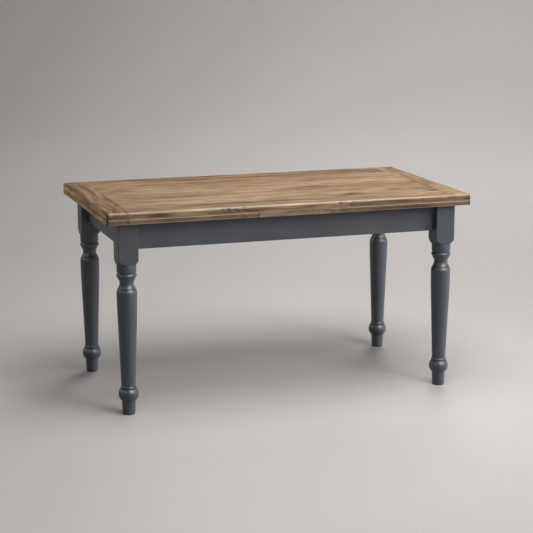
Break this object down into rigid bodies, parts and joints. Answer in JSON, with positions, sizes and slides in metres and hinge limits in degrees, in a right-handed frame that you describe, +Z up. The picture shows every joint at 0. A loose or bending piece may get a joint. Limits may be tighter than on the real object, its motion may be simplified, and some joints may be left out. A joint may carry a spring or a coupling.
{
  "type": "draw-leaf kitchen table",
  "caption": "Kitchen table with turned painted legs, painted aprons and a brown plank top; a leaf under each half of the loose top draws out endways on sliding bearers.",
  "frame": {"origin": "on the floor under the middle of the top", "axes": "+X along the length to the right, +Y from front to back, +Z up"},
  "size_m": [1.45, 0.79, 0.78],
  "materials": {
    "weathered_wood": "oiled, worn, open grain",
    "slate_paint": "eggshell paint on wood",
    "bare_wood": "planed, unfinished",
    "steel": "zinc plated"
  },
  "bodies": {
    "base": {"leg_front_left": "slate_paint", "leg_front_right": "slate_paint", "leg_back_right": "slate_paint", "leg_back_left": "slate_paint", "apron_front": "slate_paint", "apron_back": "slate_paint", "apron_right": "slate_paint", "apron_left": "slate_paint", "centre_rail_right": "bare_wood", "centre_rail_left": "bare_wood", "centre_board": "weathered_wood", "corner_brace_front_left": "bare_wood", "corner_brace_front_right": "bare_wood", "corner_brace_back_right": "bare_wood", "corner_brace_back_left": "bare_wood", "corner_brace_screws": "steel", "centre_board_screws": "steel"},
    "top": {"top_board_1": "weathered_wood", "top_board_2": "weathered_wood", "top_board_3": "weathered_wood", "top_board_4": "weathered_wood", "top_board_5": "weathered_wood", "top_board_6": "weathered_wood", "top_end_board_left": "weathered_wood", "top_end_board_right": "weathered_wood", "guide_peg_front": "bare_wood", "guide_peg_back": "bare_wood", "guide_peg_washers": "steel", "guide_peg_screws": "steel"},
    "right_leaf": {"right_leaf_board_1": "weathered_wood", "right_leaf_board_2": "weathered_wood", "right_leaf_board_3": "weathered_wood", "right_leaf_board_4": "weathered_wood", "right_leaf_board_5": "weathered_wood", "right_leaf_board_6": "weathered_wood", "right_leaf_outer_end_board": "weathered_wood", "right_leaf_inner_end_board": "weathered_wood", "right_leaf_loper_outer": "bare_wood", "right_leaf_loper_inner": "bare_wood", "right_leaf_stop_pegs": "bare_wood", "right_leaf_loper_screws": "steel"},
    "left_leaf": {"left_leaf_board_1": "weathered_wood", "left_leaf_board_2": "weathered_wood", "left_leaf_board_3": "weathered_wood", "left_leaf_board_4": "weathered_wood", "left_leaf_board_5": "weathered_wood", "left_leaf_board_6": "weathered_wood", "left_leaf_outer_end_board": "weathered_wood", "left_leaf_inner_end_board": "weathered_wood", "left_leaf_loper_outer": "bare_wood", "left_leaf_loper_inner": "bare_wood", "left_leaf_stop_pegs": "bare_wood", "left_leaf_loper_screws": "steel"}
  },
  "joints": [
    {"name": "right_leaf_slide", "type": "slide", "parent": "base", "child": "right_leaf", "axis": [1, 0, 0], "range_m": [0, 0.583]},
    {"name": "left_leaf_slide", "type": "slide", "parent": "base", "child": "left_leaf", "axis": [-1, 0, 0], "range_m": [0, 0.583]},
    {"name": "top_lift", "type": "slide", "parent": "base", "child": "top", "axis": [0, 0, 1], "range_m": [0, 0.0297]}
  ]
}
